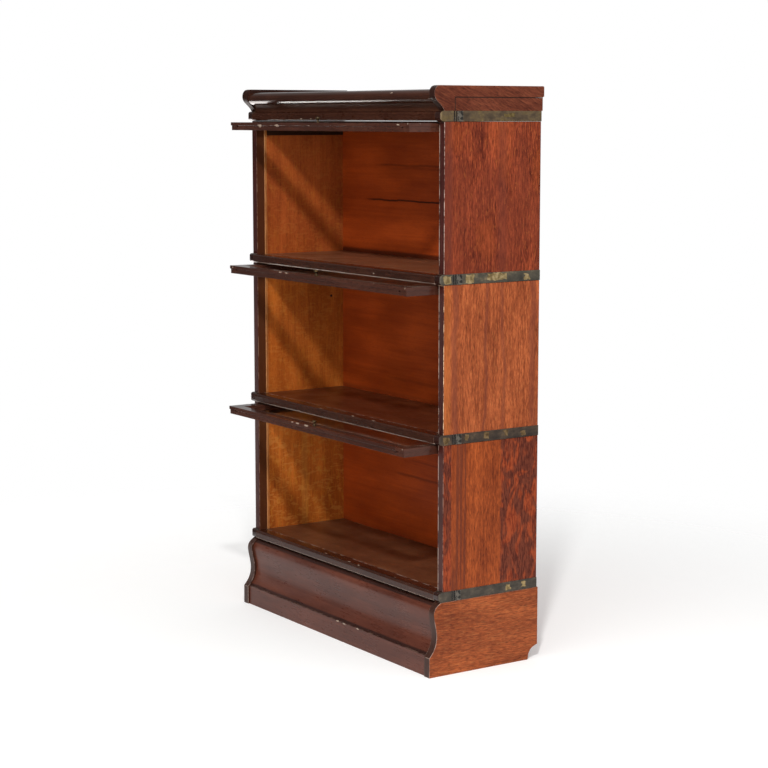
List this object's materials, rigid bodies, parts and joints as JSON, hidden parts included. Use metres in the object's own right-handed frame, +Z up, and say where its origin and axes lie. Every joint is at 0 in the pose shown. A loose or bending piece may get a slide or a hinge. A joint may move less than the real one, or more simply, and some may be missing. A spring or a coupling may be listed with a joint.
{
  "type": "barrister bookcase",
  "caption": "Stacking sectional bookcase with moulded cornice and base, and glazed doors that lift to the horizontal and slide back into each section.",
  "frame": {"origin": "on the floor, at the middle of the width and of the full depth of the object with its doors open as stored", "axes": "+Z up, the glazed front faces -Y, +X to the right of someone facing the front"},
  "size_m": [0.864, 0.3734, 1.3565],
  "materials": {
    "side_wood": "red-brown stained quarter-sawn oak, satin varnish",
    "dark_wood": "dark brown stained oak, satin varnish with worn edges",
    "shelf_wood": "brown stained oak, dull varnish",
    "back_wood": "deep red-brown stained panel, dull",
    "band_metal": "blackened brass strip worn bright in patches",
    "knob_brass": "aged polished brass",
    "rod_steel": "plain drawn steel",
    "door_glass": "clear sheet glass"
  },
  "bodies": {
    "base": {"base_end_right": "side_wood", "base_end_left": "side_wood", "base_front_moulding": "dark_wood", "base_back_rail": "back_wood"},
    "lower_section": {"lower_side_right": "side_wood", "lower_side_left": "side_wood", "lower_band_right": "band_metal", "lower_band_left": "band_metal", "lower_door_guide_right": "dark_wood", "lower_door_guide_left": "dark_wood", "lower_front_rail": "dark_wood", "lower_shelf_board": "shelf_wood", "lower_back_panel": "back_wood"},
    "lower_rod": {"lower_door_rod": "rod_steel"},
    "lower_door": {"lower_door_stile_right": "dark_wood", "lower_door_stile_left": "dark_wood", "lower_door_top_rail": "dark_wood", "lower_door_bottom_rail": "dark_wood", "lower_door_glass": "door_glass", "lower_door_knob": "knob_brass"},
    "middle_section": {"middle_side_right": "side_wood", "middle_side_left": "side_wood", "middle_band_right": "band_metal", "middle_band_left": "band_metal", "middle_door_guide_right": "dark_wood", "middle_door_guide_left": "dark_wood", "middle_front_rail": "dark_wood", "middle_shelf_board": "shelf_wood", "middle_back_panel": "back_wood"},
    "middle_rod": {"middle_door_rod": "rod_steel"},
    "middle_door": {"middle_door_stile_right": "dark_wood", "middle_door_stile_left": "dark_wood", "middle_door_top_rail": "dark_wood", "middle_door_bottom_rail": "dark_wood", "middle_door_glass": "door_glass", "middle_door_knob": "knob_brass"},
    "upper_section": {"upper_side_right": "side_wood", "upper_side_left": "side_wood", "upper_band_right": "band_metal", "upper_band_left": "band_metal", "upper_door_guide_right": "dark_wood", "upper_door_guide_left": "dark_wood", "upper_front_rail": "dark_wood", "upper_shelf_board": "shelf_wood", "upper_back_panel": "back_wood"},
    "upper_rod": {"upper_door_rod": "rod_steel"},
    "upper_door": {"upper_door_stile_right": "dark_wood", "upper_door_stile_left": "dark_wood", "upper_door_top_rail": "dark_wood", "upper_door_bottom_rail": "dark_wood", "upper_door_glass": "door_glass", "upper_door_knob": "knob_brass"},
    "cornice": {"cornice_end_right": "side_wood", "cornice_end_left": "side_wood", "cornice_band_right": "band_metal", "cornice_band_left": "band_metal", "cornice_bottom_board": "dark_wood", "cornice_front_moulding": "dark_wood", "cornice_top_board": "side_wood", "cornice_back_rail": "back_wood"}
  },
  "joints": [
    {"name": "lower_section_lift", "type": "slide", "parent": "base", "child": "lower_section", "axis": [0, 0, 1], "range_m": [0, 0.15]},
    {"name": "lower_door_slide", "type": "slide", "parent": "lower_section", "child": "lower_rod", "axis": [0, -1, 0], "range_m": [-0.019, 0.226]},
    {"name": "lower_door_tilt", "type": "hinge", "parent": "lower_rod", "child": "lower_door", "pos_m": [0, 0.14275, 0.529], "axis": [1, 0, 0], "range_deg": [0, 90]},
    {"name": "middle_section_lift", "type": "slide", "parent": "lower_section", "child": "middle_section", "axis": [0, 0, 1], "range_m": [0, 0.15]},
    {"name": "middle_door_slide", "type": "slide", "parent": "middle_section", "child": "middle_rod", "axis": [0, -1, 0], "range_m": [-0.0125, 0.2325]},
    {"name": "middle_door_tilt", "type": "hinge", "parent": "middle_rod", "child": "middle_door", "pos_m": [0, 0.14925, 0.896], "axis": [1, 0, 0], "range_deg": [0, 90]},
    {"name": "upper_section_lift", "type": "slide", "parent": "middle_section", "child": "upper_section", "axis": [0, 0, 1], "range_m": [0, 0.15]},
    {"name": "upper_door_slide", "type": "slide", "parent": "upper_section", "child": "upper_rod", "axis": [0, -1, 0], "range_m": [-0.0055, 0.2395]},
    {"name": "upper_door_tilt", "type": "hinge", "parent": "upper_rod", "child": "upper_door", "pos_m": [0, 0.15625, 1.263], "axis": [1, 0, 0], "range_deg": [0, 90]},
    {"name": "cornice_lift", "type": "slide", "parent": "upper_section", "child": "cornice", "axis": [0, 0, 1], "range_m": [0, 0.15]}
  ]
}
